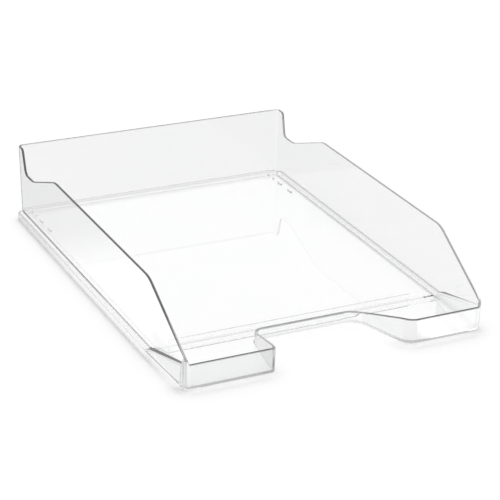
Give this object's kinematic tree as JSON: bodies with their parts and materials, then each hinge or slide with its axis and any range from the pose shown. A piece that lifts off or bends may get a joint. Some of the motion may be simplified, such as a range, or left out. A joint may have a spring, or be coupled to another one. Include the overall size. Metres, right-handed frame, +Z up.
{
  "type": "letter tray",
  "caption": "Clear moulded letter tray with a raised back, notched diagonal sides, stacking skirts and a low front lip with an off-centre hand cut-out.",
  "frame": {"origin": "centre of the footprint, on the plane the tray stands on", "axes": "+X to the right seen from the open front, +Y to the raised back, +Z up"},
  "size_m": [0.255, 0.346, 0.065],
  "materials": {
    "clear_plastic": "clear, glossy"
  },
  "bodies": {
    "root": {"back_wall": "clear_plastic", "cutout_flank_left": "clear_plastic", "cutout_flank_right": "clear_plastic", "cutout_wall": "clear_plastic", "floor_apron": "clear_plastic", "floor_panel": "clear_plastic", "floor_rib": "clear_plastic", "front_corner_left": "clear_plastic", "front_corner_right": "clear_plastic", "front_foot": "clear_plastic", "front_lip_left": "clear_plastic", "front_lip_right": "clear_plastic", "mark_strip_left": "clear_plastic", "mark_strip_right": "clear_plastic", "rear_base_rail": "clear_plastic", "rear_corner_left": "clear_plastic", "rear_corner_right": "clear_plastic", "side_skirt_left": "clear_plastic", "side_skirt_right": "clear_plastic", "side_wall_left": "clear_plastic", "side_wall_right": "clear_plastic", "skirt_flare_left": "clear_plastic", "skirt_flare_right": "clear_plastic"}
  },
  "joints": []
}
